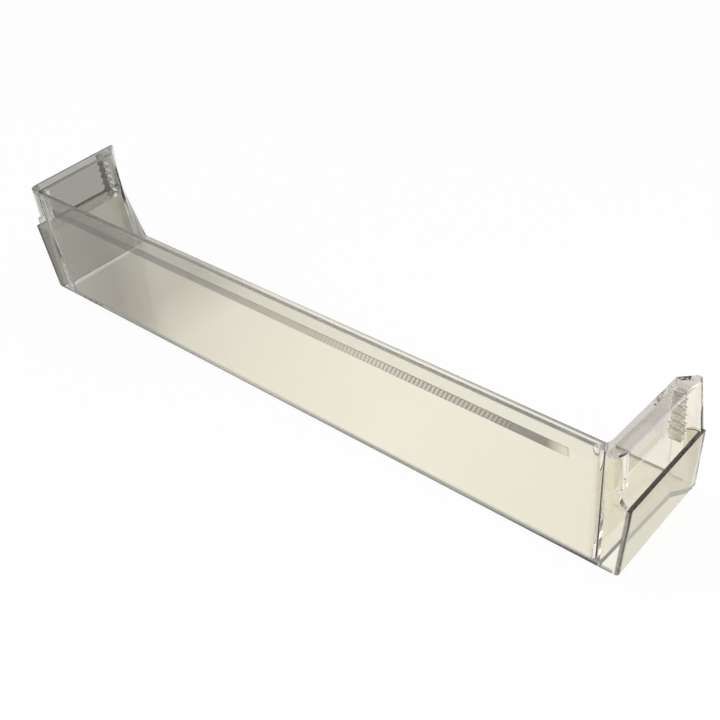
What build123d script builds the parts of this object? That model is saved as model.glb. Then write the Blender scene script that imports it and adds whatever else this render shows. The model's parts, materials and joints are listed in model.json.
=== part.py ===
from build123d import *
import math
import os

os.makedirs("parts", exist_ok=True)

# Fridge door shelf, one clear moulding. Millimetres.
# X runs along the shelf, Y from the front wall to the door, Z up. Origin under the middle.

# Overall sizes
LENGTH = 480.0          # over the rims of the two skirts
DEPTH = 78.0            # front face to the back edge of the floor
HEIGHT = 80.0           # foot to the top of the front wall
WALL = 2.5              # general wall of the moulding
OVERLAP = WALL / 2      # how far one wall runs into the next before they are joined
NEAR = 0.2              # how close a point must lie to a face to be picked with it

# Every inset is measured along the shelf, from the rim of the skirt towards the middle

# Tray end walls, which lean out a little towards the top
TRAY_FOOT_INSET = 21.0  # tray side of the end wall at the foot
TRAY_TOP_INSET = 16.0   # tray side of the end wall at the top
TRAY_CORNER_R = 6.5     # inside corner between front wall and end wall
STEP = 0.6              # extra thickness of the end wall below the skirt rim

# Flare at the back of each end wall, where it turns out to meet the skirt
FLARE_RUN = 64.5        # front face to the start of the flare
FLARE_FOOT_INSET = 11.0 # tray side of the flare at the back of the floor
FLARE_RIM_INSET = 7.6   # tray side of the flare at the height of the rim
FLARE_TOP_INSET = 8.2   # tray side of the flare at the top

# Outer skirt of each hanging pocket
RIM_Z = 48.5            # height of the free rim
SKIRT_FOOT_INSET = 6.6  # outer face at the foot, front end
SKIRT_TAPER_FOOT = 3.0  # how much the foot comes in towards the back
SKIRT_TAPER_RIM = 2.0   # how much the rim comes in towards the back
SKIRT_FOOT_R = 2.4      # rounded outer edge of the foot
FRONT_EDGE_R = 1.4      # rounded outer edge of the front face, along the foot and up the skirts
RIM_DEPTH = 70.5        # front face to the back edge, at the rim
TOP_DEPTH = 71.5        # front face to the back edge, at the top

# Upper part of the front wall and the flange that hangs on the door
UPPER_INSET = 6.0       # outer edge of the flange
UPPER_R = 5.5           # rounded front corner of the upper part
SHOULDER_Z = 57.3       # where the flat lower plate gives way to the rounded corner
SHOULDER_INSET = 6.4    # outer edge of the flat plate at the shoulder
SHOULDER_R = 5.2        # hollow between the shoulder and the rim
RETURN_RUN = 6.8        # how far the rounded corner runs back along the side
FLANGE_T = WALL

# Ribbed pad across each hanging pocket
PAD_RUN = 56.2          # front face to the front of the pad
PAD_T = 3.4
PAD_DROP = 1.0          # how far the pad hangs below the rim
RUNG_COUNT = 5
RUNG_PITCH = 5.1
RUNG_RISE = 3.7         # rim to the middle of the lowest rung
RUNG_H = 1.6
RUNG_PROUD = 0.7
RUNG_SETBACK = 0.8      # rungs stop this far inside the edge of the flange

# Toothed strip on the inside of the front wall
STRIP_LEFT_INSET = 28.5
STRIP_RIGHT_INSET = 35.7
STRIP_TOOTH_PITCH = 2.7
STRIP_DROP = 10.0       # top of the front wall to the upper edge of the strip
STRIP_H = 5.0
STRIP_BASE_T = 0.3
STRIP_TOOTH_H = 0.3

RIM_X = LENGTH / 2
TRAY_FOOT_X = RIM_X - TRAY_FOOT_INSET
TRAY_TOP_X = RIM_X - TRAY_TOP_INSET
FLARE_FOOT_X = RIM_X - FLARE_FOOT_INSET
FLARE_RIM_X = RIM_X - FLARE_RIM_INSET
FLARE_TOP_X = RIM_X - FLARE_TOP_INSET
SKIRT_FOOT_X = RIM_X - SKIRT_FOOT_INSET
UPPER_X = RIM_X - UPPER_INSET
SHOULDER_X = RIM_X - SHOULDER_INSET
FRONT_Y = -DEPTH / 2
BACK_Y = DEPTH / 2
INNER_Y = FRONT_Y + WALL
RIM_BACK_Y = FRONT_Y + RIM_DEPTH
TOP_BACK_Y = FRONT_Y + TOP_DEPTH
FLARE_Y = FRONT_Y + FLARE_RUN
STRIP_X = STRIP_LEFT_INSET - RIM_X
STRIP_Z = HEIGHT - STRIP_DROP - STRIP_H


def between(low, high, z, z_high):
    """Value at height z on a straight line from low at the foot to high at z_high."""
    return low + (high - low) * z / z_high


def tray_x(z):
    """Tray side of the right end wall at height z."""
    return between(TRAY_FOOT_X, TRAY_TOP_X, z, HEIGHT)


def end_wall_section(z, thickness, flare_x, back_y, tail_x):
    """Plan of the right end wall at one height: straight run, flare, and a tail that meets the skirt."""
    x = tray_x(z)
    dx = flare_x - x
    dy = back_y - FLARE_Y
    slant = math.hypot(dx, dy)
    bend = thickness * (slant - dy) / dx
    bend_y = FLARE_Y - thickness * dx / slant + bend * dy / slant
    reach = (back_y - thickness - FLARE_Y + thickness * dx / slant) * slant / dy
    turn_x = x + thickness * dy / slant + reach * dx / slant
    outline = Polyline(
        (x, FRONT_Y + OVERLAP, z),
        (x, FLARE_Y, z),
        (flare_x, back_y, z),
        (tail_x, back_y, z),
        (tail_x, back_y - thickness, z),
        (turn_x, back_y - thickness, z),
        (x + thickness, bend_y, z),
        (x + thickness, FRONT_Y + OVERLAP, z),
        close=True,
    )
    return make_face(outline)


def skirt_section(y, taper_foot, taper_rim):
    """Cross-section of the right skirt, standing across the shelf at depth y."""
    foot = SKIRT_FOOT_X - taper_foot
    rim = RIM_X - taper_rim
    lean = math.hypot(rim - foot, RIM_Z)
    tilt_x = (rim - foot) / lean
    tilt_z = RIM_Z / lean
    # the round starts this far along each side of the corner
    run = SKIRT_FOOT_R * math.tan((math.pi / 2 - math.atan2(rim - foot, RIM_Z)) / 2)
    start = (foot - run, y, 0)
    end = (foot + run * tilt_x, y, run * tilt_z)
    foot_round = TangentArc(start, end, tangent=(1, 0, 0))
    outer = Line(end, (rim, y, RIM_Z))
    top = Line((rim, y, RIM_Z), (rim - WALL, y, RIM_Z))
    inner = Line((rim - WALL, y, RIM_Z), (foot - WALL, y, 0))
    base = Line((foot - WALL, y, 0), start)
    return make_face(Wire([foot_round, outer, top, inner, base]))


# Flat lower plate of the front wall, out to the skirts, with the hollow shoulders above the rims
plate_line = [
    (SKIRT_FOOT_X, 0),
    (RIM_X, RIM_Z),
    (SHOULDER_X, RIM_Z),
    (SHOULDER_X, SHOULDER_Z),
]
left_line = [(-x, z) for x, z in reversed(plate_line)]
plate = make_face(Polyline(*plate_line, *left_line, close=True))
hollows = [v for v in plate.vertices() if abs(v.Y - RIM_Z) < NEAR and abs(v.X) < SHOULDER_X + NEAR]
plate = fillet(hollows, SHOULDER_R)
feet = [v for v in plate.vertices() if v.Y < NEAR]
plate = fillet(feet, SKIRT_FOOT_R)
front_plane = Plane(origin=(0, FRONT_Y, 0), x_dir=(1, 0, 0), z_dir=(0, -1, 0))
lower_front = extrude(front_plane * plate, -WALL)
front_edges = [
    e
    for e in lower_front.edges()
    if abs(e.center().Y - FRONT_Y) < NEAR and e.center().Z < RIM_Z - NEAR
]
lower_front = fillet(front_edges, FRONT_EDGE_R)

# Upper front wall: its ends turn the corner and run back a little way
upper_depth = 2 * (RETURN_RUN + UPPER_R)
upper_outer = RectangleRounded(2 * UPPER_X, upper_depth, UPPER_R)
upper_inner = RectangleRounded(2 * (UPPER_X - WALL), upper_depth - 2 * WALL, UPPER_R - WALL)
keep = Pos(0, -upper_depth / 2 + RETURN_RUN / 2) * Rectangle(LENGTH, RETURN_RUN)
upper_plan = (upper_outer - upper_inner) & keep
upper_front = Pos(0, FRONT_Y + upper_depth / 2, SHOULDER_Z) * extrude(upper_plan, HEIGHT - SHOULDER_Z)

front_wall = lower_front + upper_front

# Tray end walls, in a thicker lower part and a thinner upper part
tail_foot_x = SKIRT_FOOT_X - SKIRT_TAPER_FOOT - WALL + OVERLAP
tail_rim_x = RIM_X - SKIRT_TAPER_RIM - WALL + OVERLAP
lower_end = loft(
    [
        end_wall_section(0, WALL + STEP, FLARE_FOOT_X, BACK_Y, tail_foot_x),
        end_wall_section(RIM_Z, WALL + STEP, FLARE_RIM_X, RIM_BACK_Y, tail_rim_x),
    ],
    ruled=True,
)
upper_end = loft(
    [
        end_wall_section(RIM_Z, WALL, FLARE_RIM_X, RIM_BACK_Y, tail_rim_x),
        end_wall_section(HEIGHT, WALL, FLARE_TOP_X, TOP_BACK_Y, UPPER_X),
    ],
    ruled=True,
)
end_wall = lower_end + upper_end

# Floor between the end walls, following the flares
floor_side = [
    (TRAY_FOOT_X + OVERLAP, FRONT_Y + OVERLAP),
    (TRAY_FOOT_X + OVERLAP, FLARE_Y),
    (FLARE_FOOT_X + OVERLAP, BACK_Y),
]
floor_left = [(-x, y) for x, y in reversed(floor_side)]
floor = extrude(make_face(Polyline(*floor_side, *floor_left, close=True)), WALL)

tray = front_wall + end_wall + mirror(end_wall, about=Plane.YZ) + floor

# Round the two inside corners of the tray
corner_edges = [
    e
    for e in tray.edges()
    if abs(e.center().Y - INNER_Y) < NEAR
    and abs(abs(e.center().X) - tray_x(e.center().Z)) < NEAR
    and e.length > STRIP_H
]
tray = fillet(corner_edges, TRAY_CORNER_R)

# Skirt, cut off at the back along the slope from the floor to the rim
skirt = loft(
    [
        skirt_section(INNER_Y, 0, 0),
        skirt_section(BACK_Y, SKIRT_TAPER_FOOT, SKIRT_TAPER_RIM),
    ],
    ruled=True,
)
side_view = make_face(
    Polyline(
        (0, FRONT_Y, 0),
        (0, BACK_Y, 0),
        (0, RIM_BACK_Y, RIM_Z),
        (0, RIM_BACK_Y, HEIGHT),
        (0, FRONT_Y, HEIGHT),
        close=True,
    )
)
skirt = skirt & extrude(side_view, LENGTH, dir=(1, 0, 0))

# Flange over the pocket
flange_plan = make_face(
    Polyline(
        (TRAY_TOP_X + OVERLAP, FRONT_Y),
        (UPPER_X, FRONT_Y),
        (UPPER_X, TOP_BACK_Y),
        (FLARE_TOP_X + OVERLAP, TOP_BACK_Y),
        (TRAY_TOP_X + OVERLAP, FLARE_Y),
        close=True,
    )
)
flange_corner = [v for v in flange_plan.vertices() if v.X > UPPER_X - NEAR and v.Y < FRONT_Y + NEAR]
flange_plan = fillet(flange_corner, UPPER_R)
flange = Pos(0, 0, HEIGHT - FLANGE_T) * extrude(flange_plan, FLANGE_T)

# Ribbed pad: a plate across the pocket with rungs that wrap round its outer edge
pad_foot_z = RIM_Z - PAD_DROP
rung_end_x = UPPER_X - RUNG_SETBACK
pad_face = make_face(
    Polyline(
        (tray_x(pad_foot_z) + OVERLAP, FRONT_Y + PAD_RUN, pad_foot_z),
        (rung_end_x - RUNG_PROUD, FRONT_Y + PAD_RUN, pad_foot_z),
        (rung_end_x - RUNG_PROUD, FRONT_Y + PAD_RUN, HEIGHT - FLANGE_T / 2),
        (tray_x(HEIGHT) + OVERLAP, FRONT_Y + PAD_RUN, HEIGHT - FLANGE_T / 2),
        close=True,
    )
)
pad = extrude(pad_face, PAD_T, dir=(0, 1, 0))
for rung in range(RUNG_COUNT):
    rung_z = RIM_Z + RUNG_RISE + rung * RUNG_PITCH
    rung_x = tray_x(rung_z) + OVERLAP
    rung_box = Box(
        rung_end_x - rung_x,
        PAD_T + 2 * RUNG_PROUD,
        RUNG_H,
        align=(Align.MIN, Align.MIN, Align.CENTER),
    )
    pad += Pos(rung_x, FRONT_Y + PAD_RUN - RUNG_PROUD, rung_z) * rung_box

end = skirt + flange + pad

# Toothed strip, drawn in plan as one saw-edged outline
root_y = INNER_Y + STRIP_BASE_T
tip_y = root_y + STRIP_TOOTH_H
tooth_count = round((LENGTH - STRIP_LEFT_INSET - STRIP_RIGHT_INSET) / STRIP_TOOTH_PITCH)
teeth = [(STRIP_X, INNER_Y - OVERLAP), (STRIP_X, root_y)]
for tooth in range(tooth_count):
    tooth_x = STRIP_X + tooth * STRIP_TOOTH_PITCH
    teeth.append((tooth_x + STRIP_TOOTH_PITCH / 2, tip_y))
    teeth.append((tooth_x + STRIP_TOOTH_PITCH, root_y))
teeth.append((STRIP_X + tooth_count * STRIP_TOOTH_PITCH, INNER_Y - OVERLAP))
strip = Pos(0, 0, STRIP_Z) * extrude(make_face(Polyline(*teeth, close=True)), STRIP_H)

door_shelf = tray + end + mirror(end, about=Plane.YZ) + strip
door_shelf.label = "door_shelf"

export_step(door_shelf, "parts/door_shelf.step")
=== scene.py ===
import json
import math

import bpy
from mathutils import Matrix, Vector

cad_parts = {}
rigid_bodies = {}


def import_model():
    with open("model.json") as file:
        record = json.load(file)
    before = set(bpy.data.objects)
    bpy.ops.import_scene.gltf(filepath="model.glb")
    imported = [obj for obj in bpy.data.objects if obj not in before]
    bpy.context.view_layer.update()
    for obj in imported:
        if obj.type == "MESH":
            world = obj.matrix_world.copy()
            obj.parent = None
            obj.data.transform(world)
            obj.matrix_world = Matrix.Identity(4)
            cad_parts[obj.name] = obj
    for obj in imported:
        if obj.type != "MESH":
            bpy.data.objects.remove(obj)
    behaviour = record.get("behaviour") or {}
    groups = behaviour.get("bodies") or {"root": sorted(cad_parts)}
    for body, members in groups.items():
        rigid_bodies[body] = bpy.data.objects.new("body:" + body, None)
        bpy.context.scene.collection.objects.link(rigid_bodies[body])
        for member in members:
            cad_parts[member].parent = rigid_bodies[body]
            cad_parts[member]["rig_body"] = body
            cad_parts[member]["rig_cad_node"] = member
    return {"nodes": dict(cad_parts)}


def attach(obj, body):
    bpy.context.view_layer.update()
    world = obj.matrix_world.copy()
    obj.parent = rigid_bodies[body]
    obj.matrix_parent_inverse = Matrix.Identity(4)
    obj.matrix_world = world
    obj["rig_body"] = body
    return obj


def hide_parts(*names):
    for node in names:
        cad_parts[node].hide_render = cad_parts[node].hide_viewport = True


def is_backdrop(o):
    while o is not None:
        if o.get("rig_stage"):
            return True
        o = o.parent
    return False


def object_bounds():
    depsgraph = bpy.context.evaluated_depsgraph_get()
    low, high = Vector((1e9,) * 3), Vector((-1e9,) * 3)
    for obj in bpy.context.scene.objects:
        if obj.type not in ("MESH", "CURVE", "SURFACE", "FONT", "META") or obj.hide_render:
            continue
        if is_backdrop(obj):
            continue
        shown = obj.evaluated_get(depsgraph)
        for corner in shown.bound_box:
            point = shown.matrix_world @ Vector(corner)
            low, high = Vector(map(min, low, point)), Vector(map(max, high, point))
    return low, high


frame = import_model()
cad_low, cad_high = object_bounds()

# The shelf: one moulding in clear polystyrene with a faint smoky tint.
# It comes out of the mould in one shot, so floor, walls, flanges, pockets and toothed strip are
# all the same piece. Its flat faces stay truly flat and only its rounded corners are shaded smooth.
WELD = 0.00001
FLAT = math.radians(0.5)
SMOOTH_ANGLE = math.radians(32)
BY_AREA_ONLY = 100

bpy.ops.object.select_all(action="DESELECT")
moulded = frame["nodes"]["door_shelf"]
shelf = moulded.copy()
shelf.data = moulded.data.copy()
shelf.name = "shelf_moulding"
shelf.parent = None
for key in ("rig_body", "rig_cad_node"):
    del shelf[key]
bpy.context.scene.collection.objects.link(shelf)
bpy.context.view_layer.objects.active = shelf
shelf.select_set(True)
bpy.ops.object.mode_set(mode="EDIT")
bpy.ops.mesh.select_all(action="SELECT")
bpy.ops.mesh.remove_doubles(threshold=WELD)
bpy.ops.mesh.dissolve_limited(angle_limit=FLAT)
bpy.ops.mesh.select_mode(type="EDGE")
bpy.ops.mesh.select_all(action="DESELECT")
bpy.ops.mesh.edges_select_sharp(sharpness=SMOOTH_ANGLE)
bpy.ops.mesh.mark_sharp()
bpy.ops.object.mode_set(mode="OBJECT")
bpy.ops.object.shade_smooth()
steady = shelf.modifiers.new("flat faces stay flat", "WEIGHTED_NORMAL")
steady.mode = "FACE_AREA"
steady.weight = BY_AREA_ONLY
steady.keep_sharp = True
bpy.ops.object.modifier_apply(modifier=steady.name)

# Clear plastic: light passes through it, and it darkens with each millimetre, so that an edge seen end-on
# is darker than a wall. Its own tint is cream, creamiest at one end of the shelf; painted shade makes it
# greyer at the other end and darker in the ends, the flanges, the skirts, the pads and the toothed strip, and
# painted light brightens the lower end walls. The front wall's rim and the pads are duller.
# Painted shade: the darker grey stops at the start of this ramp stand in for shade at that end; the cream
# stops are the plastic's own tint.
TINT_AND_PAINTED_SHADE_ALONG = (
    (0.05, (0.56, 0.55, 0.495, 1.0)),
    (0.17, (0.52, 0.495, 0.43, 1.0)),
    (0.29, (0.84, 0.815, 0.73, 1.0)),
    (0.44, (0.91, 0.88, 0.785, 1.0)),
    (0.65, (0.955, 0.93, 0.835, 1.0)),
    (0.94, (0.925, 0.90, 0.81, 1.0)),
)
LEANING = "front edge of the skirt"
SKIRT_LEAN = 0.136
# Low and high corner of a box in metres, with x measured outwards from the middle of the shelf, how
# softly its edge fades in, then the factor the colour is multiplied by at the greyer end and at the creamier
# end.
# Painted shade where a factor is below one and painted light where it is above one: near-black skirt rims, a
# dark foot and front edge, a dark line at the floor's back edge, a shaded band above the strip, brighter
# lower end walls.
PAINTED_SHADE_AND_LIGHT = {
    "long wall above the strip": (
        (-0.0010, -0.0450, 0.0702), (0.2205, -0.0350, 0.0796), 0.0004,
        (0.78, 0.78, 0.78), (0.97, 0.99, 1.0),
    ),
    "end wall, upper part": (
        (0.2205, -0.0300, 0.0550), (0.2268, 0.0240, 0.0776), 0.0002,
        (0.54, 0.53, 0.51), (0.88, 0.88, 0.93),
    ),
    "end wall, flared part": (
        (0.2205, 0.0240, 0.0030), (0.2345, 0.0400, 0.0776), 0.0002,
        (0.70, 0.70, 0.69), (0.97, 0.96, 0.92),
    ),
    "end wall, shoulder": (
        (0.2175, -0.0300, 0.0486), (0.2268, 0.0240, 0.0550), 0.0002,
        (1.30, 1.32, 1.45), (0.80, 0.78, 0.76),
    ),
    "end wall, lower part": (
        (0.2175, -0.0362, 0.0030), (0.2265, 0.0240, 0.0486), 0.0002,
        (1.75, 1.78, 2.00), (1.02, 1.02, 1.06),
    ),
    "ribbed pad": (
        (0.2268, 0.0160, 0.0470), (0.2330, 0.0245, 0.0776), 0.0001,
        (0.50, 0.50, 0.50), (0.72, 0.72, 0.74),
    ),
    "front of the pocket": (
        (0.2268, -0.0450, -0.0010), (0.2420, -0.0362, 0.0484), 0.0002,
        (0.55, 0.53, 0.42), (1.0, 1.0, 1.0),
    ),
    "skirt": (
        (0.2285, -0.0362, -0.0010), (0.2410, 0.0400, 0.0486), 0.0002,
        (0.55, 0.53, 0.45), (0.70, 0.67, 0.55),
    ),
    "flange": (
        (0.2205, -0.0400, 0.0776), (0.2345, 0.0400, 0.0810), 0.0002,
        (0.50, 0.50, 0.50), (0.72, 0.72, 0.82),
    ),
    "skirt rim": (
        (0.2300, -0.0400, 0.0484), (0.2410, 0.0400, 0.0486), 0.00001,
        (0.04, 0.04, 0.04), (0.012, 0.011, 0.014),
    ),
    LEANING: (
        (0.2308, -0.0450, -0.0010), (0.2345, -0.0362, 0.0484), 0.0003,
        (0.35, 0.35, 0.34), (0.35, 0.35, 0.34),
    ),
    "foot of the long wall": (
        (-0.0010, -0.0450, -0.0010), (0.2300, -0.0350, 0.0026), 0.0003,
        (0.25, 0.25, 0.24), (0.32, 0.32, 0.31),
    ),
    "back edge of the floor": (
        (-0.0010, 0.0380, -0.0010), (0.2200, 0.0400, 0.0027), 0.00001,
        (1.0, 1.0, 1.0), (0.10, 0.10, 0.09),
    ),
}
# Painted shade on the toothed strip: grey along its length, darker at some places than others, with dark
# painted ticks slanted across its teeth.
STRIP = ((-0.2130, -0.0372, 0.0640), (0.2056, -0.0350, 0.0704), 0.0006)
STRIP_PAINTED_SHADE_ALONG = (
    (0.06, 0.11),
    (0.40, 0.18),
    (0.58, 0.34),
    (0.68, 0.56),
    (0.83, 0.28),
    (0.86, 0.07),
    (0.90, 0.045),
    (0.92, 0.70),
)
STRIP_WARMTH = 0.97
TOOTH_PITCH = 0.0027
TOOTH_LEAN = 0.55
TOOTH_EDGE = (0.15 * TOOTH_PITCH, 0.35 * TOOTH_PITCH)
TOOTH_PAINTED_SHADE = (0.20, 0.20, 0.20, 1.0)
TEETH_FAINT_TO = 0.02
TEETH_CLEAR_FROM = 0.10
TEETH_FAINTEST = 0.25
TEETH_END = 0.172
# Low and high corner of a box as above, how softly its edge fades in, then the roughness in it.
ROUGHER = {
    "rim of the front wall": ((-0.0010, -0.0450, 0.0790), (0.2200, -0.0350, 0.0810), 0.0004, 0.45),
    "ribbed pad": ((0.2264, 0.0150, 0.0460), (0.2330, 0.0250, 0.0776), 0.0004, 0.25),
}
HAZE_SIZE = 60.0
HAZE_ROUGHNESS = (0.015, 0.04)
PLASTIC_IOR = 1.57
DEPTH_GREY = (0.52, 0.51, 0.49, 1.0)
DEPTH_DENSITY = 4.0
LAMP_PASS = (0.9, 0.89, 0.86, 1.0)

inside = bpy.data.node_groups.new("inside_box", "ShaderNodeTree")
inside.interface.new_socket("Point", in_out="INPUT", socket_type="NodeSocketVector")
inside.interface.new_socket("Low", in_out="INPUT", socket_type="NodeSocketVector")
inside.interface.new_socket("High", in_out="INPUT", socket_type="NodeSocketVector")
inside.interface.new_socket("Soft", in_out="INPUT", socket_type="NodeSocketFloat")
inside.interface.new_socket("Mask", in_out="OUTPUT", socket_type="NodeSocketFloat")
nodes = inside.nodes
links = inside.links


def worked_out(kind, operation, *given):
    """A math node of the current tree, fed with sockets to link or values to set."""
    node = nodes.new(kind)
    node.operation = operation
    for place_in, value in zip(node.inputs, given):
        if isinstance(value, bpy.types.NodeSocket):
            links.new(value, place_in)
        else:
            place_in.default_value = value
    return node


given = nodes.new("NodeGroupInput").outputs
above = worked_out("ShaderNodeVectorMath", "SUBTRACT", given["Point"], given["Low"])
below = worked_out("ShaderNodeVectorMath", "SUBTRACT", given["High"], given["Point"])
least = worked_out("ShaderNodeVectorMath", "MINIMUM", above.outputs[0], below.outputs[0])
sides = nodes.new("ShaderNodeSeparateXYZ")
links.new(least.outputs[0], sides.inputs[0])
smaller = worked_out("ShaderNodeMath", "MINIMUM", sides.outputs["X"], sides.outputs["Y"])
smallest = worked_out("ShaderNodeMath", "MINIMUM", smaller.outputs[0], sides.outputs["Z"])
within = worked_out("ShaderNodeMath", "DIVIDE", smallest.outputs[0], given["Soft"])
within.use_clamp = True
handed = nodes.new("NodeGroupOutput")
links.new(within.outputs[0], handed.inputs["Mask"])

plastic = bpy.data.materials.new("clear_smoky_plastic")
plastic.use_nodes = True
nodes = plastic.node_tree.nodes
links = plastic.node_tree.links
nodes.clear()
place = nodes.new("ShaderNodeTexCoord").outputs["Object"]
split = nodes.new("ShaderNodeSeparateXYZ")
links.new(place, split.inputs[0])
along = nodes.new("ShaderNodeMapRange")
along.inputs["From Min"].default_value = cad_low.x
along.inputs["From Max"].default_value = cad_high.x
links.new(split.outputs["X"], along.inputs["Value"])


def ramp_along(steps):
    """A colour ramp over the length of the shelf, from pairs of a position and a colour."""
    ramp = nodes.new("ShaderNodeValToRGB")
    stops = ramp.color_ramp.elements
    stops[0].position, stops[0].color = steps[0]
    stops[1].position, stops[1].color = steps[-1]
    for position, colour in steps[1:-1]:
        stops.new(position).color = colour
    links.new(along.outputs["Result"], ramp.inputs["Fac"])
    return ramp.outputs["Color"]


def box_mask(name, point, low, high, soft):
    """One where the point lies in the box, fading to nought at its sides."""
    box = nodes.new("ShaderNodeGroup")
    box.node_tree = inside
    box.label = name
    box.inputs["Low"].default_value = low
    box.inputs["High"].default_value = high
    box.inputs["Soft"].default_value = soft
    links.new(point, box.inputs["Point"])
    return box.outputs["Mask"]


def multiplied(colour, by, share):
    """The colour times another one, by the share that the mask gives."""
    painted_product = nodes.new("ShaderNodeMix")
    painted_product.data_type = "RGBA"
    painted_product.blend_type = "MULTIPLY"
    painted_product.clamp_result = True
    links.new(share, painted_product.inputs["Factor"])
    links.new(colour, painted_product.inputs["A"])
    if isinstance(by, bpy.types.NodeSocket):
        links.new(by, painted_product.inputs["B"])
    else:
        painted_product.inputs["B"].default_value = by
    return painted_product.outputs["Result"]


def outward_point(outward):
    """The point on the shelf with its x replaced."""
    point = nodes.new("ShaderNodeCombineXYZ")
    links.new(outward.outputs[0], point.inputs["X"])
    links.new(split.outputs["Y"], point.inputs["Y"])
    links.new(split.outputs["Z"], point.inputs["Z"])
    return point.outputs[0]


outwards = worked_out("ShaderNodeMath", "ABSOLUTE", split.outputs["X"])
leaning_x = worked_out("ShaderNodeMath", "MULTIPLY_ADD", split.outputs["Z"], -SKIRT_LEAN, outwards.outputs[0])
mirrored = outward_point(outwards)
leaning = outward_point(leaning_x)
tint_and_painted_shade = ramp_along(TINT_AND_PAINTED_SHADE_ALONG)
# Painted shade and painted light, box by box, multiplied into the plastic's colour.
for name, (low, high, soft, grey_end, cream_end) in PAINTED_SHADE_AND_LIGHT.items():
    ends = nodes.new("ShaderNodeMix")
    ends.data_type = "RGBA"
    ends.inputs["A"].default_value = (*grey_end, 1.0)
    ends.inputs["B"].default_value = (*cream_end, 1.0)
    links.new(along.outputs["Result"], ends.inputs["Factor"])
    mask = box_mask(name, leaning if name == LEANING else mirrored, low, high, soft)
    tint_and_painted_shade = multiplied(tint_and_painted_shade, ends.outputs["Result"], mask)

# Painted shade: dark slanted ticks over the strip's teeth, fading in along the shelf, on top of the strip's
# painted grey.
lean = worked_out("ShaderNodeMath", "MULTIPLY_ADD", split.outputs["Z"], -TOOTH_LEAN, split.outputs["X"])
wave = worked_out("ShaderNodeMath", "PINGPONG", lean.outputs[0], TOOTH_PITCH / 2)
tooth = nodes.new("ShaderNodeMapRange")
tooth.inputs["From Min"].default_value, tooth.inputs["From Max"].default_value = TOOTH_EDGE
links.new(wave.outputs[0], tooth.inputs["Value"])
clearer = nodes.new("ShaderNodeMapRange")
clearer.inputs["From Min"].default_value = TEETH_FAINT_TO
clearer.inputs["From Max"].default_value = TEETH_CLEAR_FROM
clearer.inputs["To Min"].default_value = TEETH_FAINTEST
links.new(split.outputs["X"], clearer.inputs["Value"])
toothed = worked_out("ShaderNodeMath", "LESS_THAN", split.outputs["X"], TEETH_END)
shown = worked_out("ShaderNodeMath", "MULTIPLY", clearer.outputs["Result"], toothed.outputs[0])
marked = worked_out("ShaderNodeMath", "MULTIPLY", tooth.outputs["Result"], shown.outputs[0])
strip_painted_shade = ramp_along([(spot, (grey, grey, grey * STRIP_WARMTH, 1.0)) for spot, grey in STRIP_PAINTED_SHADE_ALONG])
teeth_painted_shade = multiplied(strip_painted_shade, TOOTH_PAINTED_SHADE, marked.outputs[0])
tint_and_painted_shade = multiplied(tint_and_painted_shade, teeth_painted_shade, box_mask("toothed strip", place, *STRIP))

haze = nodes.new("ShaderNodeTexNoise")
haze.inputs["Scale"].default_value = HAZE_SIZE
links.new(place, haze.inputs["Vector"])
rough = nodes.new("ShaderNodeMapRange")
rough.inputs["To Min"].default_value, rough.inputs["To Max"].default_value = HAZE_ROUGHNESS
links.new(haze.outputs["Fac"], rough.inputs["Value"])
roughness = rough.outputs["Result"]
for name, (low, high, soft, dull) in ROUGHER.items():
    rougher = nodes.new("ShaderNodeMix")
    rougher.inputs["B"].default_value = dull
    links.new(box_mask(name, mirrored, low, high, soft), rougher.inputs["Factor"])
    links.new(roughness, rougher.inputs["A"])
    roughness = rougher.outputs["Result"]
glass = nodes.new("ShaderNodeBsdfPrincipled")
glass.inputs["Transmission Weight"].default_value = 1.0
glass.inputs["IOR"].default_value = PLASTIC_IOR
links.new(tint_and_painted_shade, glass.inputs["Base Color"])
links.new(roughness, glass.inputs["Roughness"])
lamp_pass = nodes.new("ShaderNodeBsdfTransparent")
lamp_pass.inputs["Color"].default_value = LAMP_PASS
rays = nodes.new("ShaderNodeLightPath")
mixer = nodes.new("ShaderNodeMixShader")
links.new(rays.outputs["Is Shadow Ray"], mixer.inputs["Fac"])
links.new(glass.outputs["BSDF"], mixer.inputs[1])
links.new(lamp_pass.outputs["BSDF"], mixer.inputs[2])
depth = nodes.new("ShaderNodeVolumeAbsorption")
depth.inputs["Color"].default_value = DEPTH_GREY
depth.inputs["Density"].default_value = DEPTH_DENSITY
out = nodes.new("ShaderNodeOutputMaterial")
links.new(mixer.outputs["Shader"], out.inputs["Surface"])
links.new(depth.outputs["Volume"], out.inputs["Volume"])
shelf.data.materials.clear()
shelf.data.materials.append(plastic)

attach(shelf, "root")
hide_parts("door_shelf")

# Floor: a wide plain white sheet just under the shelf. It takes the shelf's shadow, and seen directly
# or through the plastic it also glows, so that it comes out as white as the rest of the background.
FLOOR_SIZE = 12.0
FLOOR_DROP = 0.0002
FLOOR_WHITE = (0.85, 0.85, 0.85, 1.0)
FLOOR_ROUGHNESS = 0.9
FLOOR_GLOW = 0.88

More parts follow.
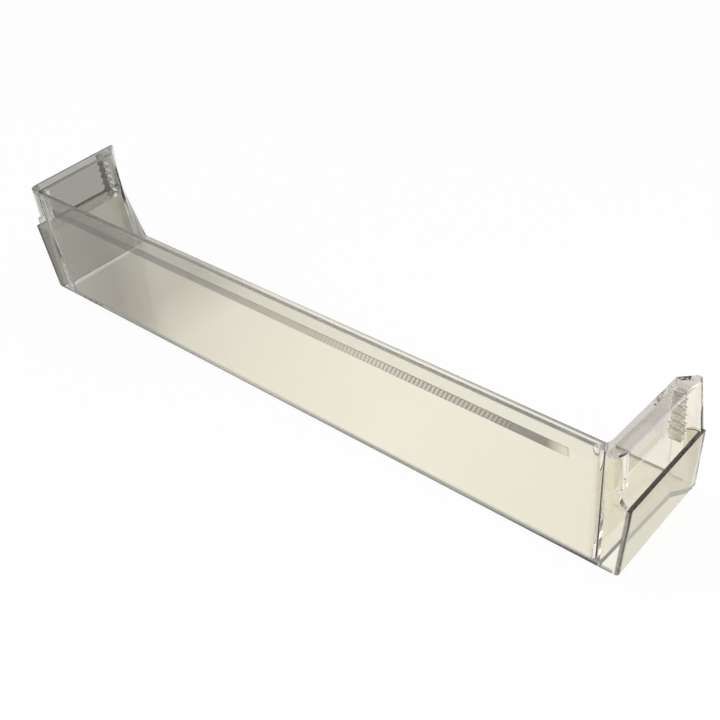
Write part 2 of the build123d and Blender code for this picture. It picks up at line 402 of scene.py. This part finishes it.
bpy.ops.mesh.primitive_plane_add(size=FLOOR_SIZE, location=(0, 0, -FLOOR_DROP))
floor = bpy.context.active_object
floor.name = "floor"
floor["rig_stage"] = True
white = bpy.data.materials.new("white_floor")
white.use_nodes = True
nodes = white.node_tree.nodes
links = white.node_tree.links
matt = nodes["Principled BSDF"]
matt.inputs["Base Color"].default_value = FLOOR_WHITE
matt.inputs["Roughness"].default_value = FLOOR_ROUGHNESS
glow = nodes.new("ShaderNodeEmission")
glow.inputs["Color"].default_value = (1, 1, 1, 1)
rays = nodes.new("ShaderNodeLightPath")
directly = worked_out(
    "ShaderNodeMath", "MAXIMUM", rays.outputs["Is Camera Ray"], rays.outputs["Is Transmission Ray"]
)
anyhow = worked_out("ShaderNodeMath", "MAXIMUM", directly.outputs[0], rays.outputs["Is Glossy Ray"])
share = worked_out("ShaderNodeMath", "MULTIPLY", anyhow.outputs[0], FLOOR_GLOW)
both = nodes.new("ShaderNodeMixShader")
links.new(share.outputs[0], both.inputs["Fac"])
links.new(matt.outputs["BSDF"], both.inputs[1])
links.new(glow.outputs["Emission"], both.inputs[2])
links.new(both.outputs["Shader"], nodes["Material Output"].inputs["Surface"])
floor.data.materials.append(white)

# Room: white walls that fade to a darker ceiling, as a photographer's corner has, and plain white
# where the camera sees it directly.
WALL_LIGHT = (0.95, 0.95, 0.95, 1.0)
CEILING_LIGHT = (0.65, 0.65, 0.66, 1.0)
FADE_HEIGHTS = (0.15, 0.75)

room = bpy.data.worlds.new("studio")
bpy.context.scene.world = room
room.use_nodes = True
nodes = room.node_tree.nodes
links = room.node_tree.links
air = nodes["Background"]
around = nodes.new("ShaderNodeTexCoord")
split = nodes.new("ShaderNodeSeparateXYZ")
links.new(around.outputs["Generated"], split.inputs[0])
height = nodes.new("ShaderNodeMapRange")
height.inputs["From Min"].default_value, height.inputs["From Max"].default_value = FADE_HEIGHTS
links.new(split.outputs["Z"], height.inputs["Value"])
fade = nodes.new("ShaderNodeMix")
fade.data_type = "RGBA"
fade.inputs["A"].default_value = WALL_LIGHT
fade.inputs["B"].default_value = CEILING_LIGHT
links.new(height.outputs["Result"], fade.inputs["Factor"])
links.new(fade.outputs["Result"], air.inputs["Color"])
plain = nodes.new("ShaderNodeBackground")
plain.inputs["Color"].default_value = (1, 1, 1, 1)
plain.inputs["Strength"].default_value = 1.0
rays = nodes.new("ShaderNodeLightPath")
both = nodes.new("ShaderNodeMixShader")
links.new(rays.outputs["Is Camera Ray"], both.inputs["Fac"])
links.new(air.outputs["Background"], both.inputs[1])
links.new(plain.outputs["Background"], both.inputs[2])
links.new(both.outputs["Shader"], nodes["World Output"].inputs["Surface"])

# Studio lamps: two square soft boxes that face the shelf, a large one overhead to the right of the
# camera and a weaker fill from the left.
LAMP_AIM = Vector((0, 0, 0.03))

for name, place, size, power in (
    ("key", (1.3, -1.0, 1.6), 1.6, 26),
    ("fill", (-1.5, -0.6, 1.3), 1.8, 9),
):
    bpy.ops.object.light_add(type="AREA", location=place)
    lamp = bpy.context.active_object
    lamp.name = name
    lamp.data.size = size
    lamp.data.energy = power
    lamp.rotation_euler = (LAMP_AIM - Vector(place)).to_track_quat("-Z", "Y").to_euler()

# Camera: in front of the shelf, to its right and well above it, with a slight roll. A ray may cross
# many faces of the plastic on its way, so the bounces are set high.
CAMERA_PLACE = (0.4563, -0.3919, 0.4628)
CAMERA_TURN = (52.462, 6.643, 42.467)
SENSOR_WIDTH = 36
FOCAL_LENGTH = 60.95
CLIP_START = 0.01
CLIP_END = 50
ALL_BOUNCES = 32
CLEAR_BOUNCES = 24
GLOSSY_BOUNCES = 16

bpy.ops.object.camera_add(location=CAMERA_PLACE)
camera = bpy.context.active_object
camera.rotation_euler = [math.radians(turn) for turn in CAMERA_TURN]
camera.data.sensor_width = SENSOR_WIDTH
camera.data.lens = FOCAL_LENGTH
camera.data.clip_start = CLIP_START
camera.data.clip_end = CLIP_END
bpy.context.scene.camera = camera

scene = bpy.context.scene
scene.view_settings.view_transform = "Standard"
scene.cycles.max_bounces = ALL_BOUNCES
scene.cycles.transmission_bounces = CLEAR_BOUNCES
scene.cycles.glossy_bounces = GLOSSY_BOUNCES
scene.cycles.transparent_max_bounces = CLEAR_BOUNCES

low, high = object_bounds()
